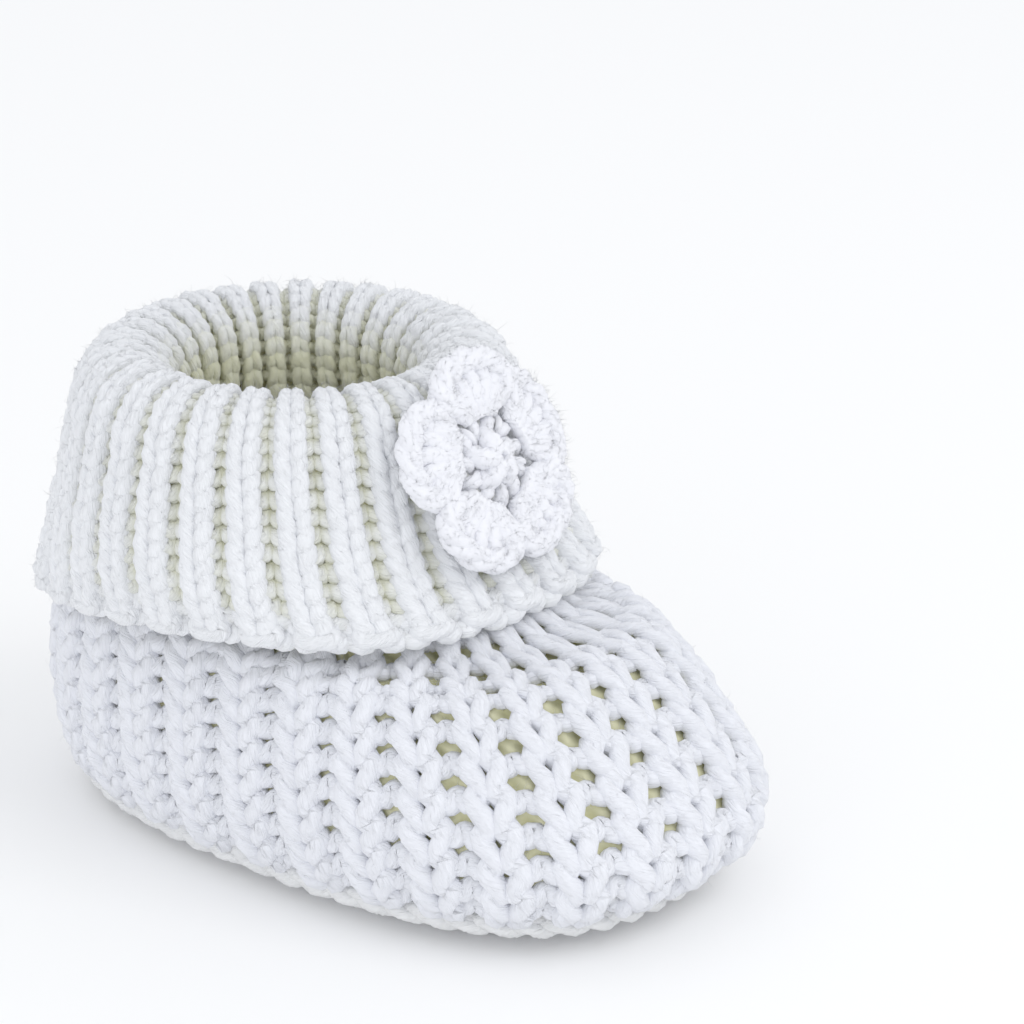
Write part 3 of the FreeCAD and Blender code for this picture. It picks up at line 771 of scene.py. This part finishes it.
fluff("cuff_fluff", rib_strands[:CUFF_TOP] + hem_strands, 8500, 1.2 * MM, "root", 1)
fluff("crest_fluff", rib_strands[CUFF_TOP:], 6000, 1.1 * MM, "root", 2)
fluff("foot_fluff", foot_strands, 8500, 1.2 * MM, "root", 3)
fluff("flower_fluff", ring_strands + lobes, 2500, 1.1 * MM, "root", 4)
for number, strands in enumerate(petals, 1):
    fluff(f"petal_{number}_fluff", strands, 2000, 1.1 * MM, f"petal_{number}_body",
          4 + number)

# --------------------------------------------------------------------------- floor, light and camera
# A plain white table under soft studio light, seen from the bootie's right, a little above.

FLOOR_SIZE = 6.0
FLOOR_Z = -0.4 * MM         # the sole's stitches sink in this far

edge = FLOOR_SIZE / 2
corners = [(-edge, -edge, FLOOR_Z), (edge, -edge, FLOOR_Z), (edge, edge, FLOOR_Z), (-edge, edge, FLOOR_Z)]
floor_mesh = bpy.data.meshes.new("floor")
floor_mesh.from_pydata(corners, [], [(0, 1, 2, 3)])
floor = bpy.data.objects.new("floor", floor_mesh)
bpy.context.scene.collection.objects.link(floor)
floor_paint = bpy.data.materials.new("floor_paint")
floor_paint.use_nodes = True
paint = floor_paint.node_tree.nodes["Principled BSDF"].inputs
paint["Base Color"].default_value = colour(0.97, 0.97, 0.97)
paint["Roughness"].default_value = 0.9
floor_mesh.materials.append(floor_paint)

world = bpy.data.worlds.new("studio")
bpy.context.scene.world = world
world.use_nodes = True
sky = world.node_tree.nodes["Background"].inputs
sky["Color"].default_value = (0.95, 0.97, 1.0, 1.0)
sky["Strength"].default_value = 0.93
bpy.context.scene.view_settings.view_transform = "Standard"
bpy.context.scene.view_settings.gamma = 1.45        # keeps the shade between the stitches light

LOOK_AT = Vector((11.43, -9.29, 40.80)) * MM


def direction(azimuth, elevation):
    """The direction from the bootie to a place round it, where azimuth 0 is in front of the toe."""
    a, e = math.radians(azimuth), math.radians(elevation)
    return Vector((math.sin(a) * math.cos(e), -math.cos(a) * math.cos(e), math.sin(e)))


def soft_light(name, azimuth, elevation, distance, size, watts):
    """A square lamp of that size, in metres, that faces the bootie."""
    light = bpy.data.lights.new(name, "AREA")
    light.size = size
    light.energy = watts
    lamp = bpy.data.objects.new(name, light)
    back = direction(azimuth, elevation)
    lamp.location = LOOK_AT + back * distance
    lamp.rotation_euler = back.to_track_quat("Z", "Y").to_euler()
    bpy.context.scene.collection.objects.link(lamp)


soft_light("key", 10, 48, 1.0, 0.6, 2.3)
soft_light("fill", -70, 15, 1.2, 0.9, 1.8)

CAMERA_AZIMUTH, CAMERA_ELEVATION, CAMERA_DISTANCE, CAMERA_LENS = -49.24, 21.0, 0.5227, 146.86
camera_data = bpy.data.cameras.new("camera")
camera_data.lens = CAMERA_LENS
camera = bpy.data.objects.new("camera", camera_data)
back = direction(CAMERA_AZIMUTH, CAMERA_ELEVATION)
camera.location = LOOK_AT + back * CAMERA_DISTANCE
camera.rotation_euler = back.to_track_quat("Z", "Y").to_euler()
bpy.context.scene.collection.objects.link(camera)
bpy.context.scene.camera = camera
